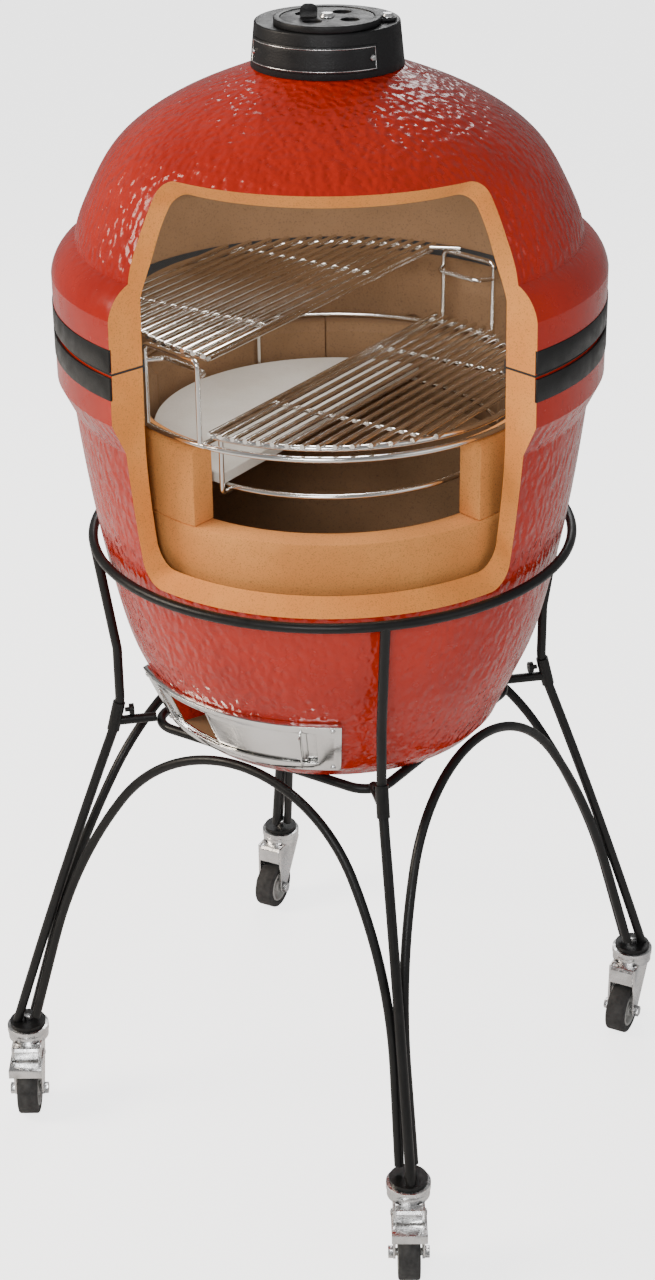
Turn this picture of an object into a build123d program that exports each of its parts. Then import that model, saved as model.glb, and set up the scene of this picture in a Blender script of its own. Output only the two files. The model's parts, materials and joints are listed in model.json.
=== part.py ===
from build123d import *
import os
from math import cos, sin, radians, sqrt

# Kamado ceramic grill on a steel cart, cut open on one side to show its inside.
# Millimetres, +Z up, origin on the floor under the grill's vertical axis, front = -Y.
# Angles are measured from +X, counter-clockwise from above.

# ---------------------------------------------------------------- driving dimensions
RIM_TOP = 895              # top of the base rim
LID_BOTTOM = 897.4         # underside of the lid flange
FLANGE_RADIUS = 270        # ceramic flanges, the widest part of the grill
BAND_SEAT_RADIUS = 268     # shallow seat of the steel bands
BAND_SEAT_LOW = 871
BAND_SEAT_HIGH = 921
CAVITY_RADIUS = 232.5      # inside of the rim
GAP = 0.3                  # clearance between neighbouring curved faces
RUNNING = 0.05             # radial clearance of pins and shafts in their holes

CONE_RADIUS = 174          # foot of the straight cone low on the base
CONE_FOOT = 478
CONE_ALONG = (0.3955, 0.9185)    # unit direction up the cone, as (radius, height)
CONE_OUT = (0.9185, -0.3955)     # unit normal out of the cone

WINDOW_ANGLE = -58.75      # middle of the cutaway window
WINDOW_HALF_LOW = 47.6     # its half angle at WINDOW_LOW
WINDOW_HALF_HIGH = 44.7    # and at WINDOW_HIGH
WINDOW_LOW = 600
WINDOW_HIGH = 1180

DRAFT_ANGLE = -104.5       # middle of the air inlet through the base
DRAFT_HALF = 10
DRAFT_BOTTOM = 492
DRAFT_TOP = 536
TRACK_START = -125.5       # ends of the draft frame round the base
TRACK_END = -54.5
DOOR_START = -96           # ends of the draft door at rest
DOOR_END = -64.5
DOOR_TAB_ANGLE = -66

BOWL_FLOOR = 489           # inner floor of the base
BOWL_TOP = 740
PANEL_TOP = 819.7
PANEL_INNER = 186
PANEL_OUTER = 214
PANEL_COUNT = 4
PANEL_SPAN = 70.5
PANEL_START = -15.85       # first panel's edge, beside the place left open

RACK_RADIUS = 208
RACK_HEIGHT = 823
RACK_ROD = 3
LOW_RING_RADIUS = 170
LOW_RING_HEIGHT = 770
LOW_RING_ROD = 2.75
WIRE = 2.5                 # radius of the thinner rack and grate wires
STAND_HEIGHT = 905
GRATE_PITCH = 13

VENT_ANGLE = -56.45        # side that the vent cap leans to
VENT_OFFSET = 18
VENT_TOP = 1179.5
VENT_TOP_RADIUS = 68.3
VENT_BOTTOM = 1138.5
VENT_BOTTOM_RADIUS = 72.5
PLATE_ANGLE = -74.5        # middle of the name plate
PLATE_HALF = 58
PIVOT_ANGLE = 23           # pivot screw of the cap
PIVOT_RADIUS = 57
CAP_RADIUS = 50
DISC_RADIUS = 43.5

HINGE_Y = 292
HINGE_Z = 897
HINGE_PIN = 4
HINGE_HALF_WIDTH = 40

TUBE = 5                   # radius of the cart's round rods
TOP_RAIL_RADIUS = 244.7
TOP_RAIL_HEIGHT = 668.6
FOOT_RADIUS = 350.3        # distance of the casters from the axis
FOOT_TOP = 104
FOOT_THICK = 5

WHEEL_RADIUS = 28
WHEEL_WIDTH = 22.5
TRAIL = 24
AXLE_RADIUS = 4
RACEWAY_BOTTOM = 92
CROWN_TOP = 91.7
CROWN_BOTTOM = 84

LEG_ANGLES = {"fl": -135, "fr": -45, "br": 45, "bl": 135}
TRAIL_ANGLES = {"fl": -56.45, "fr": -56.45, "br": -83.5, "bl": -83.5}

os.makedirs("parts", exist_ok=True)


# ---------------------------------------------------------------- helpers
def polar(radius, angle, height=0):
    """The point at this distance from the axis, this angle and this height."""
    return (radius * cos(radians(angle)), radius * sin(radians(angle)), height)


def radial_plane(angle):
    """The upright plane through the axis: local x is the distance from the axis, local y the height."""
    return Plane(origin=(0, 0, 0), x_dir=polar(1, angle), z_dir=polar(1, angle - 90))


def on_cone(along, out):
    """A point of the base's straight cone, as (radius, height)."""
    radius = CONE_RADIUS + CONE_ALONG[0] * along + CONE_OUT[0] * out
    return (radius, CONE_FOOT + CONE_ALONG[1] * along + CONE_OUT[1] * out)


def cone_plane(angle, along, out=0):
    """The plane that lies on the base's cone, with its normal pointing out."""
    radius, height = on_cone(along, out)
    normal = (CONE_OUT[0] * cos(radians(angle)), CONE_OUT[0] * sin(radians(angle)), CONE_OUT[1])
    return Plane(origin=polar(radius, angle, height), x_dir=polar(1, angle + 90), z_dir=normal)


def sector(points, start, end, mode=Mode.ADD):
    """Revolve a closed (radius, height) outline from one angle to the other."""
    with BuildSketch(radial_plane(start)) as section:
        with BuildLine():
            Polyline(*points, close=True)
        make_face()
    revolve(section.sketch, axis=Axis.Z, revolution_arc=end - start, mode=mode)


def box_section(inner, outer, bottom, top):
    return [(inner, bottom), (outer, bottom), (outer, top), (inner, top)]


def cone_section(along_from, along_to, out_from, out_to):
    corners = [(along_from, out_from), (along_to, out_from), (along_to, out_to), (along_from, out_to)]
    return [on_cone(along, out) for along, out in corners]


def ring(radius, height, rod):
    """A round rail of this rod radius."""
    with Locations((0, 0, height)):
        Torus(radius, rod)


def rod(start, end, radius, mode=Mode.ADD):
    """A straight round rod from one point to the other."""
    along = Vector(*end) - Vector(*start)
    with BuildSketch(Plane(origin=start, z_dir=along)) as section:
        Circle(radius)
    extrude(section.sketch, amount=along.length, mode=mode)


def wire(points, bend, radius):
    """A round rod bent at each inner point."""
    with BuildLine() as path:
        FilletPolyline(*points, radius=bend)
    with BuildSketch(Plane(origin=path.line @ 0, z_dir=path.line % 0)) as section:
        Circle(radius)
    sweep(section.sketch, path=path.line)


def save(part, name):
    part.label = name
    export_step(part, f"parts/{name}.step")


# ---------------------------------------------------------------- the cutaway window
def window_wedge(height, half_angle):
    """The window's plan at one height: a triangle with its point on the axis."""
    with BuildSketch(Plane.XY.offset(height)) as plan:
        with BuildLine():
            left = polar(500, WINDOW_ANGLE - half_angle)
            right = polar(500, WINDOW_ANGLE + half_angle)
            Polyline((0, 0), left[:2], right[:2], close=True)
        make_face()
    return plan.sketch


with BuildPart() as window:
    loft([window_wedge(WINDOW_LOW, WINDOW_HALF_LOW), window_wedge(WINDOW_HIGH, WINDOW_HALF_HIGH)])
    with BuildSketch(Plane.XZ):
        with BuildLine():
            Polyline((130, 999.3), (300, 1162.5), (300, 614.7), (160, 743.3), close=True)
        make_face()
    revolve(axis=Axis.Z, mode=Mode.INTERSECT)
    for low, high, bend in ((1030, 1180, 18), (600, 730, 22)):
        corners = [e for e in window.edges() if e.length > 140 and low < e.center().Z < high]
        fillet([e for e in corners if e.bounding_box().size.Z > 90], radius=bend)


# ---------------------------------------------------------------- ceramic base
def cut_draft_opening():
    """The air inlet, straight through."""
    sector(box_section(150, 230, DRAFT_BOTTOM, DRAFT_TOP), DRAFT_ANGLE - DRAFT_HALF,
           DRAFT_ANGLE + DRAFT_HALF, mode=Mode.SUBTRACT)


with BuildPart() as base_shell:
    with BuildSketch(Plane.XZ):
        with BuildLine():
            Polyline((0, 465), (163, 465), (174, 478), (205, 550))
            Spline((205, 550), (223, 612), (240, 700), (250.5, 775), (255, 815),
                   tangents=(CONE_ALONG, (0.1, 1)))
            Polyline((255, 815), (FLANGE_RADIUS, 846), (FLANGE_RADIUS, BAND_SEAT_LOW),
                     (BAND_SEAT_RADIUS, BAND_SEAT_LOW), (BAND_SEAT_RADIUS, RIM_TOP),
                     (CAVITY_RADIUS, RIM_TOP), (CAVITY_RADIUS, 830))
            Spline((CAVITY_RADIUS, 830), (229.5, 775), (213, 660), (185, 555), (160, 500),
                   tangents=((0, -1), (-0.55, -0.83)))
            Polyline((160, 500), (140, BOWL_FLOOR), (0, BOWL_FLOOR), (0, 465))
        make_face()
    revolve(axis=Axis.Z)
    add(window.part, mode=Mode.SUBTRACT)
    cut_draft_opening()
    # blind port in the rear inner wall
    with BuildSketch(Plane(origin=polar(215, 100.8, 809), z_dir=polar(1, 100.8))):
        Circle(11)
    extrude(amount=24, mode=Mode.SUBTRACT)
save(base_shell.part, "base_shell")


# ---------------------------------------------------------------- ceramic lid
NECK_RADIUS = 60
NECK_TOP = 1150
CHIMNEY_RADIUS = 52

with BuildPart() as lid_shell:
    with BuildSketch(Plane.XZ):
        with BuildLine():
            Polyline((CAVITY_RADIUS, 960), (CAVITY_RADIUS, LID_BOTTOM), (BAND_SEAT_RADIUS, LID_BOTTOM),
                     (BAND_SEAT_RADIUS, BAND_SEAT_HIGH), (FLANGE_RADIUS, BAND_SEAT_HIGH),
                     (FLANGE_RADIUS, 948))
            ThreePointArc((FLANGE_RADIUS, 948), (263.5, 964), (246, 978))
            Spline((246, 978), (233, 1016), (203.5, 1065), (159.5, 1099), (70, 1138),
                   tangents=((-0.12, 1), (-0.93, 0.36)))
            Polyline((70, 1138), (NECK_RADIUS, 1142), (NECK_RADIUS, NECK_TOP), (CHIMNEY_RADIUS, NECK_TOP),
                     (CHIMNEY_RADIUS, 1121.5), (62, 1118))
            Spline((62, 1118), (116.6, 1096.7), (171.7, 1065.4), (207, 1021), (220.4, 989.5),
                   (CAVITY_RADIUS, 960), tangents=((0.93, -0.36), (0.25, -1)))
        make_face()
    revolve(axis=Axis.Z)
    add(window.part, mode=Mode.SUBTRACT)
save(lid_shell.part, "lid_shell")


# ---------------------------------------------------------------- bands and gasket
def hoop(name, section):
    """A ring of this section, open where the window is."""
    with BuildPart() as hoop_part:
        sector(section, 0, 360)
        add(window.part, mode=Mode.SUBTRACT)
    save(hoop_part.part, name)


BAND_OUTER = 270.8
hoop("base_band", box_section(BAND_SEAT_RADIUS + GAP, BAND_OUTER, BAND_SEAT_LOW + GAP, RIM_TOP - 1.5))
hoop("lid_band", box_section(BAND_SEAT_RADIUS + GAP, BAND_OUTER, LID_BOTTOM + 1.5, BAND_SEAT_HIGH - GAP))
# the gasket lies between the rims and has a soft lip that hangs inside them
LIP_INNER = 230.2
LIP_OUTER = 232.2
hoop("lid_gasket", [(LIP_INNER, 890), (LIP_OUTER, 890), (LIP_OUTER, RIM_TOP + GAP),
                    (BAND_SEAT_RADIUS, RIM_TOP + GAP), (BAND_SEAT_RADIUS, LID_BOTTOM),
                    (LIP_OUTER, LID_BOTTOM), (LIP_OUTER, 902), (LIP_INNER, 902)])


# ---------------------------------------------------------------- draft door low on the front
PLATE_IN = 0.3             # the frame's back plate, measured out from the cone
PLATE_OUT = 1.5
LIP_IN = 5
LIP_OUT = 6.5

CHANNEL = ((6, PLATE_IN), (74, PLATE_IN), (74, LIP_OUT), (64, LIP_OUT), (64, LIP_IN), (68, LIP_IN),
           (68, PLATE_OUT), (12, PLATE_OUT), (12, LIP_IN), (16, LIP_IN), (16, LIP_OUT), (6, LIP_OUT))
END_SPAN = 7

with BuildPart() as draft_frame:
    sector([on_cone(along, out) for along, out in CHANNEL], TRACK_START + END_SPAN, TRACK_END - END_SPAN)
    sector(cone_section(6, 74, PLATE_IN, LIP_OUT), TRACK_START, TRACK_START + END_SPAN)
    sector(cone_section(6, 74, PLATE_IN, LIP_OUT), TRACK_END - END_SPAN, TRACK_END)
    cut_draft_opening()
save(draft_frame.part, "draft_frame")

with BuildPart() as draft_door:
    sector(cone_section(12.6, 67.4, 2.9, 4.1), DOOR_START, DOOR_END)
    with BuildSketch(radial_plane(DOOR_TAB_ANGLE)):
        with BuildLine():
            Polyline(on_cone(17.5, 3.5), on_cone(17.5, 14), on_cone(62.5, 14), on_cone(62.5, 3.5),
                     close=True)
        make_face()
    extrude(amount=0.75, both=True)
save(draft_door.part, "draft_door")

with BuildPart() as draft_rivets:
    for angle in (TRACK_START + 2.5, TRACK_END - 2.5):
        for along in (11, 69):
            with BuildSketch(cone_plane(angle, along, LIP_OUT)):
                Circle(3)
            extrude(amount=1.6, taper=35)
save(draft_rivets.part, "draft_rivets")


# ---------------------------------------------------------------- firebox
LEDGE_RADIUS = 100
LEDGE_HEIGHT = 566
GRATE_THICK = 8

with BuildPart() as firebox_bowl:
    with BuildSketch(Plane.XZ):
        with BuildLine():
            Spline((136, BOWL_FLOOR), (175, 555), (203, 650), (PANEL_OUTER, BOWL_TOP),
                   tangents=((0.6, 0.8), (0.06, 1)))
            Line((PANEL_OUTER, BOWL_TOP), (PANEL_INNER, BOWL_TOP))
            Spline((PANEL_INNER, BOWL_TOP), (150, 590), (108, LEDGE_HEIGHT + GRATE_THICK),
                   tangents=((-0.06, -1), (-1, -0.25)))
            Polyline((108, LEDGE_HEIGHT + GRATE_THICK), (LEDGE_RADIUS, LEDGE_HEIGHT + GRATE_THICK),
                     (LEDGE_RADIUS, LEDGE_HEIGHT), (90, LEDGE_HEIGHT), (90, BOWL_FLOOR), (136, BOWL_FLOOR))
        make_face()
    revolve(axis=Axis.Z)
    # air arch behind the draft opening
    inlet_plane = Plane(origin=(0, 0, 0), x_dir=polar(1, DRAFT_ANGLE + 90), z_dir=polar(1, DRAFT_ANGLE))
    with BuildSketch(inlet_plane):
        with Locations((0, BOWL_FLOOR)):
            Rectangle(96, 50, align=(Align.CENTER, Align.MIN))
    extrude(amount=220, mode=Mode.SUBTRACT)
save(firebox_bowl.part, "firebox_bowl")

for index in range(PANEL_COUNT):
    with BuildPart() as firebox_panel:
        start = PANEL_START + index * PANEL_SPAN
        outline = [(PANEL_INNER, BOWL_TOP + 0.5), (PANEL_OUTER, BOWL_TOP + 0.5),
                   (PANEL_OUTER, PANEL_TOP - 4), (PANEL_OUTER - 4, PANEL_TOP),
                   (PANEL_INNER + 8, PANEL_TOP), (PANEL_INNER, PANEL_TOP - 8)]
        sector(outline, start + 0.09, start + PANEL_SPAN - 0.09)
    save(firebox_panel.part, f"firebox_panel_{index + 1}")

with BuildPart() as fire_grate:
    with BuildSketch(Plane.XY.offset(LEDGE_HEIGHT)):
        Circle(LEDGE_RADIUS - 2)
        with PolarLocations(76, 16):
            SlotOverall(26, 9, mode=Mode.SUBTRACT)
        with PolarLocations(44, 8):
            SlotOverall(24, 9, mode=Mode.SUBTRACT)
        Circle(9, mode=Mode.SUBTRACT)
    extrude(amount=GRATE_THICK)
save(fire_grate.part, "fire_grate")


# ---------------------------------------------------------------- cooking rack, grates and deflector
WELD_HEIGHT = RACK_HEIGHT + 1.2    # the wires lie a little high on the ring they are welded to
WIRE_END = RACK_RADIUS - 0.5
HANGER_RADIUS = 181.5
STAND_RADIUS = RACK_RADIUS + 0.5
STAND_WELD = RACK_HEIGHT + 0.3
LOOP_HEIGHT = STAND_HEIGHT - 17    # each stand has a loop below its top bar, bent towards the middle
LOOP_INNER = RACK_RADIUS - 18
LOOP_END = STAND_RADIUS - 0.4
LOOP_WIRE = 2.4
HANGER_LOW = 766
HANGER_ANGLES = (-91.5, 28.5, 148.5)
GRATE_RADIUS = 204.8
ROD_OVERHANG = 7
ROD_RISE = 4               # the grate rods lie this far above the middle of their rim
STANDS = ((-113.5, -92.5), (69.5, 88.5))    # angles of the two legs of each raised stand

with BuildPart() as rack_frame:
    ring(RACK_RADIUS, RACK_HEIGHT, RACK_ROD)
    ring(LOW_RING_RADIUS, LOW_RING_HEIGHT, LOW_RING_ROD)
    for angle in HANGER_ANGLES:
        wire([polar(WIRE_END, angle, WELD_HEIGHT), polar(HANGER_RADIUS, angle, WELD_HEIGHT),
              polar(HANGER_RADIUS, angle, HANGER_LOW), polar(LOW_RING_RADIUS - 2, angle, HANGER_LOW)],
             5, WIRE)
    for left, right in STANDS:
        wire([polar(STAND_RADIUS, left, STAND_WELD), polar(STAND_RADIUS, left, STAND_HEIGHT),
              polar(STAND_RADIUS, right, STAND_HEIGHT), polar(STAND_RADIUS, right, STAND_WELD)], 7, WIRE)
        wire([polar(LOOP_END, left, LOOP_HEIGHT), polar(LOOP_INNER, left + 2, LOOP_HEIGHT),
              polar(LOOP_INNER, right - 2, LOOP_HEIGHT), polar(LOOP_END, right, LOOP_HEIGHT)], 9, LOOP_WIRE)
save(rack_frame.part, "rack_frame")


def half_grate(radius, side, edge, rim_height, support_rows):
    """A half-round grate on one side of the line x = edge: rods along Y that overhang their rim."""
    rim = radius - ROD_OVERHANG
    rim_end = sqrt(rim ** 2 - edge ** 2)
    ring(rim, rim_height, RACK_ROD)
    with BuildSketch(Plane.XY.offset(rim_height - 10)) as other_side:
        with Locations((edge - side * radius, 0)):
            Rectangle(2 * radius, 3 * radius)
    extrude(other_side.sketch, amount=20, mode=Mode.SUBTRACT)
    rod((edge, -rim_end, rim_height), (edge, rim_end, rim_height), RACK_ROD)
    step = 0
    while step * GRATE_PITCH + abs(edge) < rim - 8:
        x = edge + side * step * GRATE_PITCH
        reach = sqrt(radius ** 2 - x ** 2)
        rod((x, -reach, rim_height + ROD_RISE), (x, reach, rim_height + ROD_RISE), WIRE)
        step += 1
    for y in support_rows:
        rod((edge, y, rim_height), (side * sqrt(rim ** 2 - y ** 2), y, rim_height), WIRE)


with BuildPart() as lower_grate:
    half_grate(GRATE_RADIUS, 1, -1.5, WELD_HEIGHT + WIRE + GAP + RACK_ROD, (-95, 95))
save(lower_grate.part, "lower_grate")

UPPER_RODS = STAND_HEIGHT + 2 * WIRE + GAP
with BuildPart() as upper_grate:
    half_grate(GRATE_RADIUS, -1, -4, UPPER_RODS - ROD_RISE, (-95, 95))
    # hook that lies on the rear stand
    rod((-6, 192, UPPER_RODS), (26, 207, UPPER_RODS), WIRE)
save(upper_grate.part, "upper_grate")

DEFLECTOR_RADIUS = 178
DEFLECTOR_BOTTOM = 773.1
DEFLECTOR_EDGE = 6         # its straight side, left of the middle
with BuildPart() as heat_deflector:
    with BuildSketch(Plane.XY.offset(DEFLECTOR_BOTTOM)):
        Circle(DEFLECTOR_RADIUS)
        with Locations((DEFLECTOR_RADIUS - DEFLECTOR_EDGE, 0)):
            Rectangle(2 * DEFLECTOR_RADIUS, 2 * DEFLECTOR_RADIUS, mode=Mode.SUBTRACT)
    extrude(amount=12)
    fillet(heat_deflector.edges().filter_by(Plane.XY), radius=1.5)
save(heat_deflector.part, "heat_deflector")


# ---------------------------------------------------------------- top vent
CAP_CENTRE = polar(VENT_OFFSET, VENT_ANGLE)
PIVOT = polar(PIVOT_RADIUS, PIVOT_ANGLE)
CAP_BOTTOM = VENT_TOP + 0.4
CAP_PLATE = 3
CAP_RIM_TOP = CAP_BOTTOM + 6.1
CAP_RIM_INNER = 44
DISC_BOTTOM = CAP_BOTTOM + CAP_PLATE + 0.3
DISC_THICK = 2
PORT_RADIUS = 9
PORT_CIRCLE = 25
SCREW = 3


def drum_radius(height):
    """Outer radius of the vent drum, which tapers a little upwards."""
    share = (height - VENT_BOTTOM) / (VENT_TOP - VENT_BOTTOM)
    return VENT_BOTTOM_RADIUS + share * (VENT_TOP_RADIUS - VENT_BOTTOM_RADIUS)


with BuildPart() as vent_body:
    drum = [(drum_radius(VENT_BOTTOM), VENT_BOTTOM), (drum_radius(VENT_TOP), VENT_TOP), (0, VENT_TOP),
            (0, VENT_TOP - 3), (drum_radius(VENT_TOP) - 3, VENT_TOP - 3), (66.5, NECK_TOP + 3.3),
            (54, NECK_TOP + 3.3), (54, NECK_TOP + GAP), (67, NECK_TOP + GAP), (69.5, VENT_BOTTOM)]
    sector(drum, 0, 360)
    with BuildSketch(Plane.XY.offset(VENT_TOP - 5)):
        with Locations(CAP_CENTRE[:2]):
            Circle(38)
        with Locations(PIVOT[:2]):
            Circle(SCREW + RUNNING)
    extrude(amount=8, mode=Mode.SUBTRACT)
    top_edges = vent_body.edges().filter_by(GeomType.CIRCLE).group_by(Axis.Z)[-1]
    fillet(top_edges.sort_by(SortBy.RADIUS)[-1], radius=2)
save(vent_body.part, "vent_body")


def drum_skin(bottom, top, clear, thick):
    """The section of a sheet that follows the drum's side."""
    return [(drum_radius(bottom) + clear, bottom), (drum_radius(bottom) + clear + thick, bottom),
            (drum_radius(top) + clear + thick, top), (drum_radius(top) + clear, top)]


with BuildPart() as vent_plate:
    sector(drum_skin(1144, 1168, 0.1, 1), PLATE_ANGLE - PLATE_HALF, PLATE_ANGLE + PLATE_HALF)
save(vent_plate.part, "vent_plate")

with BuildPart() as vent_plate_rivets:
    for angle in (PLATE_ANGLE - PLATE_HALF + 5, PLATE_ANGLE + PLATE_HALF - 5):
        with BuildSketch(Plane(origin=polar(drum_radius(1156) + 1.5, angle, 1156), z_dir=polar(1, angle))):
            Circle(3)
        extrude(amount=1.6, taper=30)
save(vent_plate_rivets.part, "vent_plate_rivets")

CAP_AXIS = Vector(*PIVOT) - Vector(*CAP_CENTRE)
EAR_TURN = Vector(1, 0, 0).get_signed_angle(CAP_AXIS, Vector(0, 0, 1))

with BuildPart() as vent_cap:
    with BuildSketch(Plane.XY.offset(CAP_BOTTOM)):
        with Locations(CAP_CENTRE[:2]):
            Circle(CAP_RADIUS)
        # ear that reaches the pivot screw
        with Locations(Location(CAP_CENTRE, (0, 0, EAR_TURN))):
            with Locations((CAP_AXIS.length / 2, 0)):
                Rectangle(CAP_AXIS.length, 17)
        with Locations(PIVOT[:2]):
            Circle(8.5)
            Circle(SCREW + RUNNING, mode=Mode.SUBTRACT)
        with Locations(CAP_CENTRE[:2]):
            Circle(SCREW, mode=Mode.SUBTRACT)
            with PolarLocations(PORT_CIRCLE, 4):
                Circle(PORT_RADIUS, mode=Mode.SUBTRACT)
    extrude(amount=CAP_PLATE)
    with BuildSketch(Plane.XY.offset(CAP_BOTTOM + CAP_PLATE)):
        with Locations(CAP_CENTRE[:2]):
            Circle(CAP_RADIUS)
            Circle(CAP_RIM_INNER, mode=Mode.SUBTRACT)
    extrude(amount=CAP_RIM_TOP - CAP_BOTTOM - CAP_PLATE)
save(vent_cap.part, "vent_cap")

with BuildPart() as vent_disc:
    with BuildSketch(Plane.XY.offset(DISC_BOTTOM)):
        with Locations(CAP_CENTRE[:2]):
            Circle(DISC_RADIUS)
            Circle(SCREW + RUNNING, mode=Mode.SUBTRACT)
            with PolarLocations(PORT_CIRCLE, 4):
                Circle(PORT_RADIUS, mode=Mode.SUBTRACT)
    extrude(amount=DISC_THICK)
    # finger fin
    fin_plane = Plane(origin=CAP_CENTRE, x_dir=polar(1, VENT_ANGLE + 90), z_dir=polar(1, VENT_ANGLE))
    with BuildSketch(fin_plane) as fin:
        with Locations((-17, DISC_BOTTOM)):
            Rectangle(16, 14, align=(Align.CENTER, Align.MIN))
        fillet(fin.vertices().group_by(Axis.Y)[-1], radius=6)
    extrude(amount=1, both=True)
save(vent_disc.part, "vent_disc")


def dome_screw(centre, head_bottom, head_radius, length):
    """A screw that hangs from its domed head."""
    x, y, _ = centre
    rod((x, y, head_bottom - length), (x, y, head_bottom), SCREW)
    with BuildSketch(Plane.XY.offset(head_bottom)) as head:
        with Locations((x, y)):
            Circle(head_radius)
    extrude(head.sketch, amount=3.4, taper=30)


with BuildPart() as vent_pivot_screw:
    dome_screw(PIVOT, CAP_BOTTOM + CAP_PLATE + GAP, 6, 13)
save(vent_pivot_screw.part, "vent_pivot_screw")

with BuildPart() as vent_disc_screw:
    dome_screw(CAP_CENTRE, DISC_BOTTOM + DISC_THICK + GAP, 7, CAP_PLATE + DISC_THICK + 2 * GAP)
save(vent_disc_screw.part, "vent_disc_screw")


# ---------------------------------------------------------------- lid hinge at the rear
PAD_INNER = 271.1
PAD_OUTER = 274.1
PAD_HALF = 11
EAR_X = 38
LUG_X = 31
HINGE_THICK = 4


def hinge_plate(x, bottom, top):
    """One upright ear from the pad back to the pin."""
    with BuildSketch(Plane.YZ.offset(x)) as plate:
        with BuildLine():
            Polyline((PAD_INNER - 6, bottom), (HINGE_Y, HINGE_Z - 10), (HINGE_Y, HINGE_Z + 10),
                     (PAD_INNER - 6, top), close=True)
        make_face()
        with Locations((HINGE_Y, HINGE_Z)):
            Circle(10)
    extrude(plate.sketch, amount=HINGE_THICK / 2, both=True)


def hinge_bracket(name, pad_bottom, pad_top, plate_bottom, plate_top, plate_x, hole):
    """A curved pad on the flange with two ears for the pin."""
    with BuildPart() as bracket:
        for side in (-1, 1):
            hinge_plate(side * plate_x, plate_bottom, plate_top)
        # the ears end on the pad's outer face
        sector(box_section(200, PAD_OUTER - 1, 800, 1000), 60, 120, mode=Mode.SUBTRACT)
        sector(box_section(PAD_INNER, PAD_OUTER, pad_bottom, pad_top), 90 - PAD_HALF, 90 + PAD_HALF)
        with BuildSketch(Plane.YZ.offset(-60)):
            with Locations((HINGE_Y, HINGE_Z)):
                Circle(hole)
        extrude(amount=120, mode=Mode.SUBTRACT)
    save(bracket.part, name)


hinge_bracket("hinge_lower_bracket", 850, 892, 862, 889, EAR_X, HINGE_PIN)
hinge_bracket("hinge_upper_bracket", 902, 944, 905, 932, LUG_X, HINGE_PIN + RUNNING)

with BuildPart() as hinge_pin:
    rod((-HINGE_HALF_WIDTH - 2, HINGE_Y, HINGE_Z), (HINGE_HALF_WIDTH + 2, HINGE_Y, HINGE_Z), HINGE_PIN)
    for side in (-1, 1):
        rod((side * (EAR_X + 2.3), HINGE_Y, HINGE_Z), (side * (EAR_X + 5), HINGE_Y, HINGE_Z), HINGE_PIN + 3)
save(hinge_pin.part, "hinge_pin")

for name, rows in (("hinge_bolts_base", (857, 885)), ("hinge_bolts_lid", (909, 937))):
    with BuildPart() as hinge_bolts:
        for height in rows:
            for angle in (86, 94):
                with BuildSketch(Plane(origin=polar(PAD_OUTER, angle, height), z_dir=polar(1, angle))):
                    RegularPolygon(5, 6)
                extrude(amount=4)
    save(hinge_bolts.part, name)


# ---------------------------------------------------------------- cart
SLEEVE_TOP = (229, 488)    # ends of the leg sleeves, as (radius, height)
SLEEVE_FOOT = (237, 456)
SLEEVE_OUTER = 6.6
SLEEVE_INNER = 5.3
LOWER_RING_HALF = 140
LOWER_RING_CORNER = 30
LOWER_RING_HEIGHT = 459.7
UPRIGHT_RADIUS = 5.2
BAR_INNER = 190.9

with BuildPart() as cart_top_ring:
    ring(TOP_RAIL_RADIUS, TOP_RAIL_HEIGHT, TUBE)
    for angle in LEG_ANGLES.values():
        wire([polar(TOP_RAIL_RADIUS, angle, TOP_RAIL_HEIGHT), polar(228, angle, 550),
              polar(228, angle, 492), polar(232.5, angle, 474)], 25, TUBE)
save(cart_top_ring.part, "cart_top_ring")


def cart_leg(angle):
    """Sleeve, inner bar, slanting upright and foot plate of one leg."""
    top = polar(SLEEVE_TOP[0], angle, SLEEVE_TOP[1])
    foot = polar(SLEEVE_FOOT[0], angle, SLEEVE_FOOT[1])
    with BuildPart() as leg:
        rod(top, foot, SLEEVE_OUTER)
        rod(polar(232, angle, 466), polar(BAR_INNER, angle, 466), TUBE)
        rod(top, polar(233.5, angle, 470), SLEEVE_INNER, mode=Mode.SUBTRACT)
        with BuildLine(radial_plane(angle)) as path:
            ThreePointArc(SLEEVE_FOOT, (299, 287), (362, FOOT_TOP - 2))
        with BuildSketch(Plane(origin=path.line @ 0, z_dir=path.line % 0)):
            Circle(UPRIGHT_RADIUS)
        sweep(path=path.line)
        with BuildSketch(Plane.XY.offset(FOOT_TOP - FOOT_THICK)):
            with Locations(polar(FOOT_RADIUS, angle)[:2]):
                Circle(19.5)
        extrude(amount=FOOT_THICK)
        rod(polar(FOOT_RADIUS, angle, FOOT_TOP - FOOT_THICK), polar(FOOT_RADIUS, angle, FOOT_TOP), 3.2,
            mode=Mode.SUBTRACT)
    return leg.part


for corner, angle in LEG_ANGLES.items():
    save(cart_leg(angle), f"cart_leg_{corner}")


# Side arcs: each lies in a plane that leans in at the top and is bent in two arcs and a straight foot
ARC_TOP_REACH = 172.4
ARC_TOP_HEIGHT = 465
ARC_LEAN = 0.21
ARC_BENDS = ((172, 56.9), (504, 22.5))
ARC_FOOT_RUN = 102

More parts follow.
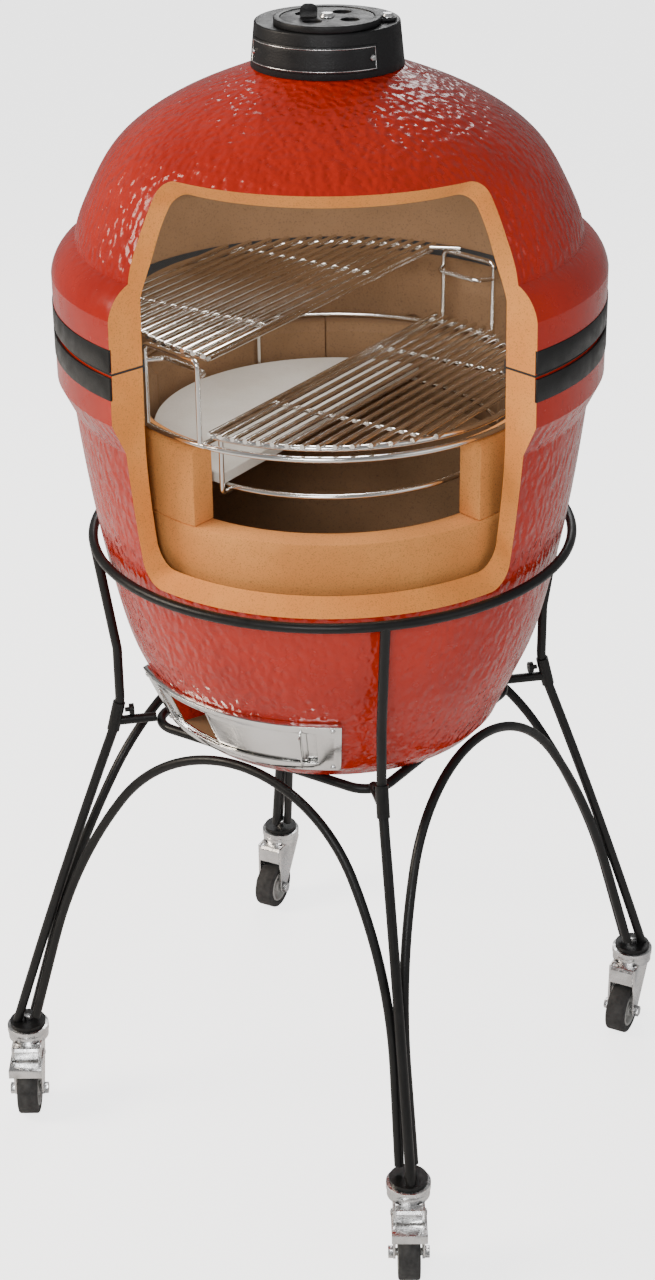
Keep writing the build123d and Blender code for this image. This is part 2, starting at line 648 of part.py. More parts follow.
for name, angle in (("front", -90), ("right", 0), ("back", 90), ("left", 180)):
    with BuildPart() as cart_arc:
        inward = polar(ARC_LEAN, angle + 180, 1)
        plane = Plane(origin=polar(ARC_TOP_REACH, angle, ARC_TOP_HEIGHT), x_dir=polar(1, angle + 90),
                      z_dir=Vector(*polar(1, angle + 90)).cross(Vector(*inward)))
        for side in (-1, 1):
            with BuildLine(plane) as path:
                bend = JernArc((0, 0), (side, 0), ARC_BENDS[0][0], -side * ARC_BENDS[0][1])
                bend = JernArc(bend @ 1, bend % 1, ARC_BENDS[1][0], -side * ARC_BENDS[1][1])
                Line(bend @ 1, bend @ 1 + (bend % 1) * ARC_FOOT_RUN)
            with BuildSketch(Plane(origin=path.line @ 0, z_dir=path.line % 0)):
                Circle(TUBE)
            sweep(path=path.line)
        with BuildSketch(Plane.XY):
            Rectangle(800, 800)
        extrude(amount=FOOT_TOP, mode=Mode.SUBTRACT)
    save(cart_arc.part, f"cart_arc_{name}")

with BuildPart() as cart_lower_ring:
    with BuildLine(Plane.XY.offset(LOWER_RING_HEIGHT)) as path:
        half = LOWER_RING_HALF
        FilletPolyline((-half, -half), (half, -half), (half, half), (-half, half),
                       radius=LOWER_RING_CORNER, close=True)
    with BuildSketch(Plane(origin=path.line @ 0, z_dir=path.line % 0)):
        Circle(TUBE)
    sweep(path=path.line)
save(cart_lower_ring.part, "cart_lower_ring")

with BuildPart() as cart_thumb_screws:
    for angle in LEG_ANGLES.values():
        rod(polar(223.5, angle, 478), polar(214, angle, 478), 2.5)
        rod(polar(219, angle, 478), polar(214, angle, 478), 6)
save(cart_thumb_screws.part, "cart_thumb_screws")


# ---------------------------------------------------------------- casters
KINGPIN_RADIUS = 6
HUB_RADIUS = 19.5
FORK_INNER = 13.5
FORK_OUTER = 16
AXLE_HEIGHT = WHEEL_RADIUS
PEDAL_PIVOT = (12, 68)     # trail and height of the brake pedal's pin
PEDAL_PIN = 2.5
PEDAL_ARM = 17.2           # distance of each pedal arm from the fork's middle
BRAKED = ("fl", "fr")


def caster_plane(corner):
    """The upright plane through a caster: local x trails away from its kingpin, local y is the height."""
    angle = TRAIL_ANGLES[corner]
    x, y, _ = polar(FOOT_RADIUS, LEG_ANGLES[corner])
    return Plane(origin=(x, y, 0), x_dir=polar(1, angle), z_dir=polar(1, angle - 90))


with BuildPart() as caster_stems:
    for angle in LEG_ANGLES.values():
        x, y, _ = polar(FOOT_RADIUS, angle)
        for bottom, top, radius in ((78.5, CROWN_BOTTOM - GAP, 9), (80, 95, KINGPIN_RADIUS),
                                    (RACEWAY_BOTTOM, FOOT_TOP - FOOT_THICK - 0.2, 22.8), (95, 106, 3.1)):
            rod((x, y, bottom), (x, y, top), radius)
        with BuildSketch(Plane.XY.offset(FOOT_TOP + 0.1)):
            with Locations((x, y)):
                RegularPolygon(4.2, 6)
        extrude(amount=4.5)
save(caster_stems.part, "caster_stems")


def fork(corner):
    """Crown and two side plates that carry the axle; the braked ones have two pins for the pedal."""
    plane = caster_plane(corner)
    with BuildPart() as caster_fork:
        with BuildSketch(Plane(origin=plane.from_local_coords((0, CROWN_BOTTOM, 0)), z_dir=(0, 0, 1))):
            Circle(22)
            Circle(KINGPIN_RADIUS + RUNNING, mode=Mode.SUBTRACT)
        extrude(amount=CROWN_TOP - CROWN_BOTTOM)
        for side in (-1, 1):
            with BuildSketch(plane.offset(side * (FORK_INNER + FORK_OUTER) / 2)):
                with BuildLine():
                    Polyline((-15, CROWN_BOTTOM + 2), (31, CROWN_BOTTOM + 2), (31, AXLE_HEIGHT),
                             (17.5, AXLE_HEIGHT - 3), (-19, CROWN_BOTTOM - 2), close=True)
                make_face()
                with Locations((TRAIL, AXLE_HEIGHT)):
                    Circle(7)
                    Circle(AXLE_RADIUS, mode=Mode.SUBTRACT)
            extrude(amount=(FORK_OUTER - FORK_INNER) / 2, both=True)
        if corner in BRAKED:
            with BuildSketch(plane):
                with Locations(PEDAL_PIVOT):
                    Circle(PEDAL_PIN)
            extrude(amount=PEDAL_ARM + 1.5, both=True)
            with BuildSketch(plane):
                with Locations(PEDAL_PIVOT):
                    Circle(2 * PEDAL_PIN)
            extrude(amount=FORK_INNER, both=True, mode=Mode.SUBTRACT)
    return caster_fork.part


def axle(corner):
    """Bolt through the wheel with a nut at each end."""
    plane = caster_plane(corner)
    with BuildPart() as caster_axle:
        with BuildSketch(plane):
            with Locations((TRAIL, AXLE_HEIGHT)):
                Circle(AXLE_RADIUS)
        extrude(amount=21, both=True)
        for side in (-1, 1):
            with BuildSketch(plane.offset(side * FORK_OUTER)):
                with Locations((TRAIL, AXLE_HEIGHT)):
                    RegularPolygon(6.5, 6)
            extrude(amount=side * 5)
    return caster_axle.part


def hub(corner):
    """Wheel centre with a recessed web and a plain bore."""
    plane = caster_plane(corner)
    with BuildPart() as caster_hub:
        with BuildSketch(plane):
            with Locations((TRAIL, AXLE_HEIGHT)):
                Circle(HUB_RADIUS)
                Circle(AXLE_RADIUS + RUNNING, mode=Mode.SUBTRACT)
        extrude(amount=WHEEL_WIDTH / 2, both=True)
        for side in (-1, 1):
            with BuildSketch(plane.offset(side * WHEEL_WIDTH / 2)):
                with Locations((TRAIL, AXLE_HEIGHT)):
                    Circle(HUB_RADIUS - 2.5)
                    Circle(8, mode=Mode.SUBTRACT)
            extrude(amount=-side * 5, mode=Mode.SUBTRACT)
    return caster_hub.part


def tyre(corner):
    """Solid rubber tread on the hub."""
    with BuildPart() as caster_tyre:
        with BuildSketch(caster_plane(corner)):
            with Locations((TRAIL, AXLE_HEIGHT)):
                Circle(WHEEL_RADIUS)
                Circle(HUB_RADIUS, mode=Mode.SUBTRACT)
        extrude(amount=WHEEL_WIDTH / 2, both=True)
    return caster_tyre.part


def brake_pedal(corner):
    """Foot lever: two arms from the fork's pins to a tread plate with a lip."""
    plane = caster_plane(corner)
    with BuildPart() as pedal:
        for side in (-1, 1):
            with BuildSketch(plane.offset(side * PEDAL_ARM)):
                with BuildLine():
                    Polyline((PEDAL_PIVOT[0], 63.5), (38, 63), (38, 70), (PEDAL_PIVOT[0], 72.5), close=True)
                make_face()
                with Locations(PEDAL_PIVOT):
                    Circle(4.5)
                    Circle(PEDAL_PIN + RUNNING, mode=Mode.SUBTRACT)
            extrude(amount=0.8, both=True)
        with BuildSketch(plane):
            with BuildLine():
                Polyline((34, 66.5), (48, 66.5), (48, 60), (50, 60), (50, 70), (34, 70), close=True)
            make_face()
        extrude(amount=PEDAL_ARM + 0.8, both=True)
    return pedal.part


for corner in LEG_ANGLES:
    save(fork(corner), f"caster_fork_{corner}")
    save(axle(corner), f"caster_axle_{corner}")
    save(hub(corner), f"caster_hub_{corner}")
    save(tyre(corner), f"caster_tyre_{corner}")
for corner in BRAKED:
    save(brake_pedal(corner), f"brake_pedal_{corner}")
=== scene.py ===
import json
from math import atan2, cos, degrees, hypot, radians, sin

import bmesh
import bpy
from mathutils import Matrix, Vector


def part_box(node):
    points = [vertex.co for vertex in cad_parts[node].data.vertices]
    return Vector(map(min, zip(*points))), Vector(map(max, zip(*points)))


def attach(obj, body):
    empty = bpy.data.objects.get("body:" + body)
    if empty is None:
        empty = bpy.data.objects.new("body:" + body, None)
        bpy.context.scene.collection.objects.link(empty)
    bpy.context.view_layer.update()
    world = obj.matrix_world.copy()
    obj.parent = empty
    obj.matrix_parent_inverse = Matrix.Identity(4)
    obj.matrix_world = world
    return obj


# A cutaway kamado grill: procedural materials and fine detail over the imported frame.
# Metres and degrees, +Z up, front = -Y, origin on the floor under the grill's axis.
# Angles round the grill are measured from +X, counter-clockwise from above.

# ---------------------------------------------------------------- driving values
WINDOW_MIDDLE = -58.75     # middle of the cutaway window
WINDOW_HALF = 47.6         # its half angle
TOP_CUT = (0.130, 0.9993, 0.96)          # a radius on the window's top cut, its height there, its slope
BOTTOM_CUT = (0.160, 0.7433, -0.9186)    # and on its bottom cut
CUT_REACH = 0.02           # how far a face may lie from those and still count as cut

PEBBLE_LOW = (0.836, 0.850)    # the belly's pebbled glaze fades out between these heights
PEBBLE_HIGH = (0.972, 0.984)   # and the dome's fades in between these

PLATE_MIDDLE = -74.5       # middle of the vent's blank plate
PLATE_HALF = 55.8
PLATE_MARGIN = 0.0022      # from the plate's edge to the line round it
PLATE_FACE = 0.0011        # from the drum to the plate's outer face
PLATE_STEPS = 24           # steps of the line on each side of the middle
LINE_RADIUS = 0.0005
DRUM_FOOT = (0.0725, 1.1385)    # radius and height of the vent drum's foot
DRUM_TAPER = 0.0042 / 0.041

# points of a caster hood's fold, as (distance along the trail, height)
HOOD_PROFILE = ((0.0205, 0.0845), (0.0280, 0.0838), (0.0308, 0.0805), (0.0313, 0.0640))
HOOD_HALF = 0.0134
HOOD_SHEET = 0.0016

WORLD_LIGHT = 0.28
BACKDROP_GLOW = 2.9        # extra light that only the camera sees, for a pale backdrop
FLOOR_GLOW = 2.6

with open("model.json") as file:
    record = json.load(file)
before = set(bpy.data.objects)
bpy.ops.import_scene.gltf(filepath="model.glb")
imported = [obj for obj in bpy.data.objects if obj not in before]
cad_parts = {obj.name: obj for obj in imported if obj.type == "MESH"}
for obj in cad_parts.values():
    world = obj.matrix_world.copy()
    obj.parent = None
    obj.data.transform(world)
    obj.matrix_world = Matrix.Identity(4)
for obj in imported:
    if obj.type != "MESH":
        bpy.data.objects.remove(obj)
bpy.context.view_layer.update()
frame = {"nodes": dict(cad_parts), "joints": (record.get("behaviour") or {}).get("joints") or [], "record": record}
NODES = frame["nodes"]


# ---------------------------------------------------------------- shader helpers
class Shader:
    """A Principled material whose colour, roughness and bump come from procedural textures."""

    def __init__(self, name, roughness=0.5, metallic=0.0, **sockets):
        self.material = bpy.data.materials.new(name)
        self.material.use_nodes = True
        self.tree = self.material.node_tree
        self.bsdf = self.tree.nodes["Principled BSDF"]
        self.bsdf.inputs["Roughness"].default_value = roughness
        self.bsdf.inputs["Metallic"].default_value = metallic
        for socket, value in sockets.items():
            self.bsdf.inputs[socket.replace("_", " ")].default_value = value
        self.place = self.node("ShaderNodeTexCoord").outputs["Object"]

    def node(self, kind, **settings):
        made = self.tree.nodes.new(kind)
        for key, value in settings.items():
            setattr(made, key, value)
        return made

    def link(self, source, target):
        self.tree.links.new(source, target)

    def stretched(self, scale):
        mapping = self.node("ShaderNodeMapping")
        mapping.inputs["Scale"].default_value = scale
        self.link(self.place, mapping.inputs["Vector"])
        return mapping.outputs["Vector"]

    def noise(self, scale, detail=3.0, rough=0.55, place=None):
        made = self.node("ShaderNodeTexNoise")
        made.inputs["Scale"].default_value = scale
        made.inputs["Detail"].default_value = detail
        made.inputs["Roughness"].default_value = rough
        self.link(place or self.place, made.inputs["Vector"])
        return made.outputs["Fac"]

    def voronoi(self, scale):
        made = self.node("ShaderNodeTexVoronoi", feature="F1")
        made.inputs["Scale"].default_value = scale
        self.link(self.place, made.inputs["Vector"])
        return made.outputs["Distance"]

    def ramp(self, value, *stops):
        """Map a value through colour stops given as (position, colour)."""
        made = self.node("ShaderNodeValToRGB")
        ramp = made.color_ramp
        while len(ramp.elements) < len(stops):
            ramp.elements.new(0.5)
        for element, (position, colour) in zip(ramp.elements, stops):
            element.position = position
            grey = isinstance(colour, (int, float))
            element.color = (colour, colour, colour, 1) if grey else (*colour, 1)
        self.link(value, made.inputs["Fac"])
        return made.outputs["Color"]

    def mix(self, factor, first, second):
        """Blend two colours, each a socket or a tuple, by a socket's value."""
        made = self.node("ShaderNodeMix", data_type="RGBA", blend_type="MIX")
        self.link(factor, made.inputs["Factor"])
        for index, value in ((6, first), (7, second)):
            if isinstance(value, tuple):
                made.inputs[index].default_value = (*value, 1)
            else:
                self.link(value, made.inputs[index])
        return made.outputs[2]

    def math(self, operation, first, second):
        made = self.node("ShaderNodeMath", operation=operation)
        for index, value in enumerate((first, second)):
            if isinstance(value, (int, float)):
                made.inputs[index].default_value = value
            else:
                self.link(value, made.inputs[index])
        return made.outputs[0]

    def colour(self, value):
        self.link(value, self.bsdf.inputs["Base Color"])

    def roughness(self, value):
        self.link(value, self.bsdf.inputs["Roughness"])

    def bump(self, height, distance, strength=1.0):
        made = self.node("ShaderNodeBump")
        made.inputs["Distance"].default_value = distance
        if isinstance(strength, float):
            made.inputs["Strength"].default_value = strength
        else:
            self.link(strength, made.inputs["Strength"])
        self.link(height, made.inputs["Height"])
        self.link(made.outputs["Normal"], self.bsdf.inputs["Normal"])


# ---------------------------------------------------------------- materials
def glaze():
    """Glossy red-orange glaze, pebbled on the dome and the belly and smooth on the flanges."""
    s = Shader("glaze", roughness=0.24, Coat_Weight=0.12, Coat_Roughness=0.12, IOR=1.42)
    cloud = s.noise(5.0, 3.0)
    body = s.ramp(cloud, (0.35, (0.36, 0.012, 0.004)), (0.62, (0.50, 0.020, 0.006)))
    pits = s.noise(150.0, 2.0)
    s.colour(s.mix(s.ramp(pits, (0.60, 0.0), (0.78, 0.35)), body, (0.22, 0.010, 0.004)))
    s.roughness(s.ramp(s.noise(60.0, 2.0), (0.35, 0.14), (0.70, 0.30)))
    height = s.node("ShaderNodeSeparateXYZ")
    s.link(s.place, height.inputs[0])
    high = s.ramp(height.outputs["Z"], (PEBBLE_LOW[0], 1.0), (PEBBLE_LOW[1], 0.06), (PEBBLE_HIGH[0], 0.06),
                  (PEBBLE_HIGH[1], 1.0))
    warped = s.node("ShaderNodeVectorMath", operation="ADD")
    drift = s.node("ShaderNodeTexNoise")
    drift.inputs["Scale"].default_value = 60.0
    s.link(s.place, drift.inputs["Vector"])
    small = s.node("ShaderNodeVectorMath", operation="SCALE")
    small.inputs["Scale"].default_value = 0.006
    s.link(drift.outputs["Color"], small.inputs[0])
    s.link(s.stretched((1.0, 1.0, 0.6)), warped.inputs[0])
    s.link(small.outputs[0], warped.inputs[1])
    pebble = s.node("ShaderNodeTexVoronoi", feature="SMOOTH_F1")
    pebble.inputs["Scale"].default_value = 140.0
    pebble.inputs["Smoothness"].default_value = 0.8
    s.link(warped.outputs[0], pebble.inputs["Vector"])
    relief = s.math("ADD", pebble.outputs["Distance"], s.math("MULTIPLY", s.noise(70.0, 2.0), 0.8))
    s.bump(relief, 0.0021, high)
    return s.material


def fired_clay(name, pale, tan, dark, fleck=0.5, rough=0.85, grit=0.0006):
    """Bare fired ceramic: cloudy body colour with fine dark and pale flecks and a gritty surface."""
    s = Shader(name, roughness=rough)
    body = s.ramp(s.noise(14.0, 4.0), (0.35, tan), (0.68, pale))
    flecks = s.ramp(s.noise(620.0, 2.0, 0.7), (0.56, 0.0), (0.66, fleck))
    spotted = s.mix(flecks, body, dark)
    pores = s.ramp(s.voronoi(330.0), (0.10, fleck), (0.22, 0.0))
    s.colour(s.mix(pores, spotted, dark))
    s.bump(s.noise(800.0, 3.0), grit, 0.6)
    return s.material


def shaded_inner_wall():
    """The bare inside wall: brown clay, darker and browner than the fresh cut faces; part of that darkness is
    painted shade of the inside.
    """
    s = Shader("inner_wall", roughness=0.88)
    # body colour: the bare clay's own brown, darkened further as painted shade of the inside of the grill
    body = s.ramp(s.noise(6.0, 4.0), (0.30, (0.19, 0.105, 0.048)), (0.70, (0.28, 0.155, 0.075)))
    flecks = s.ramp(s.noise(500.0, 2.0, 0.7), (0.55, 0.0), (0.68, 0.45))
    s.colour(s.mix(flecks, body, (0.07, 0.045, 0.03)))
    s.bump(s.noise(420.0, 3.0), 0.0007, 0.5)
    return s.material


def powder_coat(name, colour, rough, grain=900.0, relief=0.00025):
    """Textured paint: nearly black with a fine orange-peel grain."""
    s = Shader(name, roughness=rough, Specular_IOR_Level=0.3)
    darker = tuple(channel * 0.6 for channel in colour)
    s.colour(s.ramp(s.noise(30.0, 3.0), (0.3, darker), (0.7, colour)))
    s.roughness(s.ramp(s.noise(70.0, 3.0), (0.3, rough - 0.08), (0.7, rough + 0.10)))
    s.bump(s.noise(grain, 2.0), relief, 0.7)
    return s.material


def polished_wire():
    """Drawn stainless wire: bright, with faint drawing marks and heat tint."""
    s = Shader("stainless_wire", roughness=0.16, metallic=1.0)
    s.colour(s.ramp(s.noise(9.0, 2.0), (0.3, (0.66, 0.63, 0.58)), (0.7, (0.84, 0.83, 0.81))))
    s.roughness(s.ramp(s.noise(160.0, 3.0), (0.3, 0.10), (0.75, 0.26)))
    s.bump(s.noise(700.0, 2.0), 0.00012, 0.4)
    return s.material


def brushed_sheet():
    """Polished sheet steel with brushing that runs round the grill."""
    s = Shader("draft_sheet", roughness=0.14, metallic=1.0)
    lines = s.noise(1.0, 4.0, 0.6, s.stretched((30.0, 30.0, 1500.0)))
    s.colour(s.ramp(s.noise(12.0, 3.0), (0.3, (0.70, 0.69, 0.67)), (0.7, (0.88, 0.88, 0.87))))
    s.roughness(s.ramp(lines, (0.3, 0.08), (0.7, 0.22)))
    s.bump(lines, 0.00008, 0.35)
    return s.material


def zinc_plate():
    """Bright zinc plating, a little cloudy, with small scuffs."""
    s = Shader("zinc_plate", roughness=0.25, metallic=1.0)
    s.colour(s.ramp(s.noise(60.0, 3.0), (0.3, (0.55, 0.55, 0.55)), (0.7, (0.83, 0.83, 0.83))))
    s.roughness(s.ramp(s.noise(240.0, 3.0), (0.35, 0.16), (0.70, 0.40)))
    s.bump(s.noise(500.0, 2.0), 0.0001, 0.5)
    return s.material


def fibre():
    """Dark woven glass fibre."""
    s = Shader("gasket_fibre", roughness=0.95)
    weave = s.node("ShaderNodeTexWave", wave_type="BANDS", bands_direction="DIAGONAL")
    weave.inputs["Scale"].default_value = 260.0
    weave.inputs["Distortion"].default_value = 1.5
    s.link(s.place, weave.inputs["Vector"])
    s.colour(s.ramp(weave.outputs["Fac"], (0.2, (0.012, 0.012, 0.012)), (0.8, (0.05, 0.05, 0.048))))
    s.bump(weave.outputs["Fac"], 0.0006, 0.8)
    return s.material


def cast_iron():
    """Dark cast iron with a rough skin."""
    s = Shader("cast_iron", roughness=0.7, metallic=0.6)
    s.colour(s.ramp(s.noise(40.0, 3.0), (0.3, (0.018, 0.017, 0.016)), (0.7, (0.055, 0.050, 0.045))))
    s.bump(s.noise(500.0, 3.0), 0.0006, 0.8)
    return s.material


def rubber():
    """Dark grey tread rubber, dusty and faintly ribbed by moulding."""
    s = Shader("tread_rubber", roughness=0.75)
    s.colour(s.ramp(s.noise(90.0, 4.0), (0.3, (0.018, 0.018, 0.018)), (0.75, (0.050, 0.049, 0.048))))
    s.roughness(s.ramp(s.noise(200.0, 3.0), (0.3, 0.60), (0.7, 0.88)))
    s.bump(s.noise(900.0, 2.0), 0.0003, 0.6)
    return s.material


def moulded_hub():
    """Light grey moulded plastic with a faint flow pattern."""
    s = Shader("hub_grey", roughness=0.45)
    s.colour(s.ramp(s.noise(50.0, 3.0), (0.3, (0.30, 0.30, 0.29)), (0.7, (0.46, 0.46, 0.44))))
    s.roughness(s.ramp(s.noise(300.0, 2.0), (0.3, 0.38), (0.7, 0.57)))
    s.bump(s.noise(1200.0, 2.0), 0.0001, 0.5)
    return s.material


GLAZE = glaze()
CUT_CLAY = fired_clay("cut_clay", (0.93, 0.37, 0.085), (0.84, 0.30, 0.06), (0.42, 0.13, 0.03), 0.55)
# the inside wall material, its dark brown partly painted shade
SHADED_WALL = shaded_inner_wall()
FIREBOX_CLAY = fired_clay("firebox_clay", (0.80, 0.33, 0.085), (0.70, 0.27, 0.065), (0.30, 0.11, 0.03), 0.55)
DEFLECTOR_STONE = fired_clay("deflector_stone", (0.80, 0.77, 0.70), (0.70, 0.66, 0.58), (0.50, 0.45, 0.37),
                             0.25)
MATERIALS = {
    "refractory": FIREBOX_CLAY,
    "deflector": DEFLECTOR_STONE,
    "gasket": fibre(),
    "band": powder_coat("band_black", (0.012, 0.012, 0.012), 0.38),
    "black_cart": powder_coat("cart_black", (0.010, 0.010, 0.010), 0.36),
    "vent_coat": powder_coat("vent_black", (0.011, 0.011, 0.012), 0.45, 700.0, 0.0004),
    "stainless": polished_wire(),
    "draft_steel": brushed_sheet(),
    "zinc": zinc_plate(),
    "iron": cast_iron(),
    "tyre": rubber(),
    "hub": moulded_hub(),
}


# ---------------------------------------------------------------- finishing the carried CAD nodes
def round_edges(obj, width):
    """Weld the facets of a node and round its edges a little."""
    weld = obj.modifiers.new("weld", "WELD")
    weld.merge_threshold = 0.00001
    rounding = obj.modifiers.new("edge", "BEVEL")
    rounding.width = width
    rounding.segments = 2
    rounding.limit_method = "ANGLE"
    rounding.angle_limit = radians(32.0)
    rounding.harden_normals = True
    for polygon in obj.data.polygons:
        polygon.use_smooth = True


SLOT_OF = {part["node"]: part["material_slot"] for part in frame["record"]["subparts"]}
BEVELS = {"refractory": 0.0012, "band": 0.0003, "vent_coat": 0.0006, "zinc": 0.0004,
          "tyre": 0.0022, "hub": 0.0006, "draft_steel": 0.0002, "iron": 0.0006}

for name, obj in NODES.items():
    slot = SLOT_OF[name]
    if slot in MATERIALS:
        obj.data.materials.clear()
        obj.data.materials.append(MATERIALS[slot])
        if slot in BEVELS:
            round_edges(obj, BEVELS[slot])


def facing(polygon):
    """A face's distance from the axis, how far it looks out and across, and its angle from the window."""
    x, y, _ = polygon.center
    reach = hypot(x, y)
    out = (polygon.normal.x * x + polygon.normal.y * y) / max(reach, 1e-6)
    across = abs(polygon.normal.x * y - polygon.normal.y * x) / max(reach, 1e-6)
    turn = abs((degrees(atan2(y, x)) - WINDOW_MIDDLE + 180) % 360 - 180)
    return reach, out, across, turn


def is_cut_cone(reach, height, slant):
    """Whether a face lies on the window's sloping top or bottom cut."""
    top_radius, top_height, top_slope = TOP_CUT
    bottom_radius, bottom_height, bottom_slope = BOTTOM_CUT
    on_top = abs(height - (top_height + top_slope * (reach - top_radius))) < CUT_REACH
    on_bottom = abs(height - (bottom_height + bottom_slope * (reach - bottom_radius))) < CUT_REACH
    return (on_top and slant < -0.2 and height > 1.0) or (on_bottom and slant > 0.2 and height < 0.78)


def paint_shell(name):
    """Glaze outside, the brown bare wall inside, darkened as painted shade, and fresh clay on the window's cut
    faces.
    """
    obj = NODES[name]
    obj.data.materials.clear()
    for material in (GLAZE, SHADED_WALL, CUT_CLAY):
        obj.data.materials.append(material)
    for polygon in obj.data.polygons:
        reach, out, across, turn = facing(polygon)
        height = polygon.center.z
        slant = polygon.normal.z
        floor_or_rim = name == "base_shell" and abs(slant) > 0.98 and height > 0.47
        if turn < WINDOW_HALF + 1.5 and (across > 0.5 or is_cut_cone(reach, height, slant)):
            polygon.material_index = 2
        # inside faces, the base's flat floor and rim and the lid's underside get the wall material with its
        # painted shade
        elif out < -0.05 or floor_or_rim or (name == "lid_shell" and slant < -0.3):
            polygon.material_index = 1
        else:
            polygon.material_index = 0


def paint_firebox(name):
    """Fresh clay towards the window, and the darker wall material on the inside and round the rear, as painted
    shade away from the window that lets the light in.
    """
    obj = NODES[name]
    obj.data.materials.append(SHADED_WALL)
    for polygon in obj.data.polygons:
        _, out, _, turn = facing(polygon)
        # painted shade: faces turned inwards or turned away from the window get the darker wall material
        polygon.material_index = int(out < -0.3 or turn > WINDOW_HALF + 15)


paint_shell("base_shell")
paint_shell("lid_shell")
for name in sorted(NODES):
    if name.startswith("firebox"):
        paint_firebox(name)


# ---------------------------------------------------------------- outline of the blank vent plate
def drum_radius(height):
    """Outer radius of the vent drum, which tapers a little upwards."""
    return DRUM_FOOT[0] - (height - DRUM_FOOT[1]) * DRUM_TAPER


def plate_outline():
    """A bright raised line round the blank plate on the drum's side."""
    bottom, top = (corner[2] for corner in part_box("vent_plate"))
    low, high = bottom + PLATE_MARGIN, top - PLATE_MARGIN
    curve = bpy.data.curves.new("vent_plate_outline", "CURVE")
    curve.dimensions = "3D"
    curve.bevel_depth = LINE_RADIUS
    curve.bevel_resolution = 3
    spline = curve.splines.new("POLY")
    turns = [PLATE_MIDDLE + PLATE_HALF * step / PLATE_STEPS for step in range(-PLATE_STEPS, PLATE_STEPS + 1)]
    route = [(turn, low) for turn in turns] + [(turn, high) for turn in reversed(turns)]
    spline.points.add(len(route) - 1)
    for point, (turn, height) in zip(spline.points, route):
        reach = drum_radius(height) + PLATE_FACE
        point.co = (reach * cos(radians(turn)), reach * sin(radians(turn)), height, 1)
    spline.use_cyclic_u = True
    piece = bpy.data.objects.new("vent_plate_outline", curve)
    bpy.context.scene.collection.objects.link(piece)
    curve.materials.append(MATERIALS["zinc"])
    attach(piece, "lid")


plate_outline()


# ---------------------------------------------------------------- folded front of each caster fork
JOINTS = {joint["name"]: joint for joint in frame["joints"]}


def caster_hood(corner):
    """The sheet that closes the trailing side of a fork between its two side plates."""
    stem = Vector(JOINTS[f"caster_swivel_{corner}"]["pos_m"])
    wheel = Vector(JOINTS[f"wheel_roll_{corner}"]["pos_m"])
    trail = Vector((wheel.x - stem.x, wheel.y - stem.y, 0)).normalized()
    across = Vector((-trail.y, trail.x, 0))
    made = bmesh.new()
    rows = []
    for reach, height in HOOD_PROFILE:
        row = []
        for share in (-1, -0.5, 0, 0.5, 1):
            place = stem + trail * reach + across * HOOD_HALF * share
            row.append(made.verts.new((place.x, place.y, height)))
        rows.append(row)
    for upper, lower in zip(rows, rows[1:]):
        for index in range(4):
            made.faces.new((upper[index], upper[index + 1], lower[index + 1], lower[index]))
    mesh = bpy.data.meshes.new(f"caster_hood_{corner}")
    made.to_mesh(mesh)
    made.free()
    mesh.materials.append(MATERIALS["zinc"])
    piece = bpy.data.objects.new(f"caster_hood_{corner}", mesh)
    bpy.context.scene.collection.objects.link(piece)
    sheet = piece.modifiers.new("sheet", "SOLIDIFY")
    sheet.thickness = HOOD_SHEET
    sheet.offset = 0
    fold = piece.modifiers.new("fold", "BEVEL")
    fold.width = 0.0008
    fold.segments = 2
    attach(piece, f"fork_{corner}")


for corner in ("fl", "fr", "br", "bl"):
    caster_hood(corner)


# ---------------------------------------------------------------- floor, light and camera
def make_floor():
    """A wide white floor with the faintest cloudiness."""
    bpy.ops.mesh.primitive_plane_add(size=300)
    floor = bpy.context.object
    floor.name = "floor"
    s = Shader("floor_white", roughness=0.9)
    s.colour(s.ramp(s.noise(0.6, 2.0), (0.3, (0.90, 0.90, 0.90)), (0.7, (0.94, 0.94, 0.94))))
    seen = s.node("ShaderNodeLightPath").outputs["Is Camera Ray"]
    s.link(s.math("MULTIPLY", seen, FLOOR_GLOW), s.bsdf.inputs["Emission Strength"])
    s.bsdf.inputs["Emission Color"].default_value = (1, 1, 1, 1)
    floor.data.materials.append(s.material)


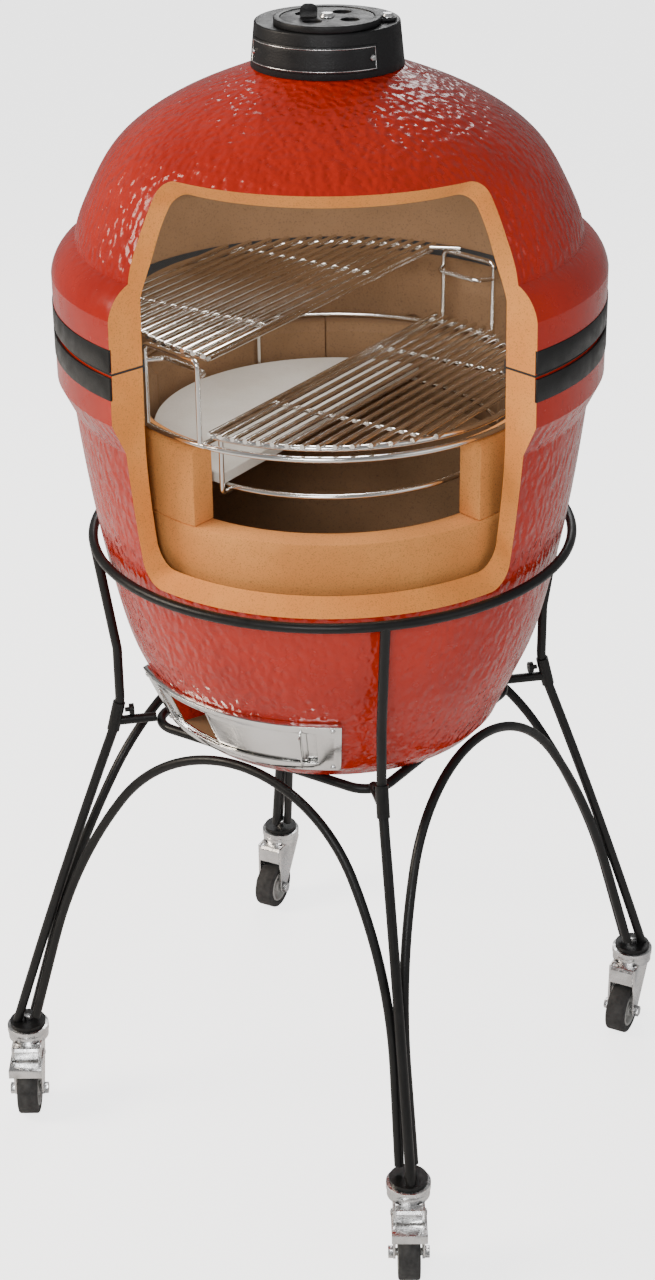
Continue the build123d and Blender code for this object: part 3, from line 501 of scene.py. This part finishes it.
def area_light(name, place, target, size, power, colour=(1, 1, 1)):
    """A round soft light that the camera doesn't see itself."""
    data = bpy.data.lights.new(name, "AREA")
    data.shape = "DISK"
    data.size = size
    data.energy = power
    data.color = colour
    light = bpy.data.objects.new(name, data)
    bpy.context.scene.collection.objects.link(light)
    light.location = place
    light.visible_camera = False
    light.rotation_euler = (Vector(target) - Vector(place)).to_track_quat("-Z", "Y").to_euler()


def make_world():
    """Even white light from all round, with a paler backdrop behind the floor."""
    world = bpy.data.worlds.new("studio")
    bpy.context.scene.world = world
    world.use_nodes = True
    background = world.node_tree.nodes["Background"]
    background.inputs["Color"].default_value = (1.0, 1.0, 1.0, 1)
    tree = world.node_tree
    seen = tree.nodes.new("ShaderNodeLightPath")
    strength = tree.nodes.new("ShaderNodeMath")
    strength.operation = "MULTIPLY_ADD"
    strength.inputs[1].default_value = BACKDROP_GLOW
    strength.inputs[2].default_value = WORLD_LIGHT
    tree.links.new(seen.outputs["Is Camera Ray"], strength.inputs[0])
    tree.links.new(strength.outputs[0], background.inputs["Strength"])


def make_camera():
    """The camera stands at the front right, above the grill, and looks down at it."""
    place = Vector((1.2106, -1.8255, 1.6281))
    forward = Vector((-0.4967, 0.7442, -0.4466)).normalized()
    level = Vector((0.8318, 0.5551, 0.0)).normalized()
    up = level.cross(forward)
    roll = radians(-0.666)
    right = level * cos(roll) + up * sin(roll)
    top = up * cos(roll) - level * sin(roll)
    data = bpy.data.cameras.new("camera")
    data.lens = 65.43
    data.sensor_width = 36
    camera = bpy.data.objects.new("camera", data)
    bpy.context.scene.collection.objects.link(camera)
    camera.matrix_world = Matrix((
        (right.x, top.x, -forward.x, place.x),
        (right.y, top.y, -forward.y, place.y),
        (right.z, top.z, -forward.z, place.z),
        (0, 0, 0, 1)))
    bpy.context.scene.camera = camera


make_floor()
make_world()
make_camera()
area_light("key", (-2.2, -1.8, 2.3), (0, 0, 0.85), 1.4, 88, (1.0, 0.88, 0.74))
area_light("window", (1.0, -2.3, 1.9), (0.05, 0, 0.85), 0.9, 33)
area_light("inside", (0.02, -0.02, 1.085), (0, -0.02, 0.8), 0.16, 1.3)
area_light("fill", (2.6, -0.2, 1.6), (0, 0, 0.8), 1.8, 10)
area_light("rim", (-1.2, 2.2, 2.4), (0, 0, 0.9), 1.4, 26)
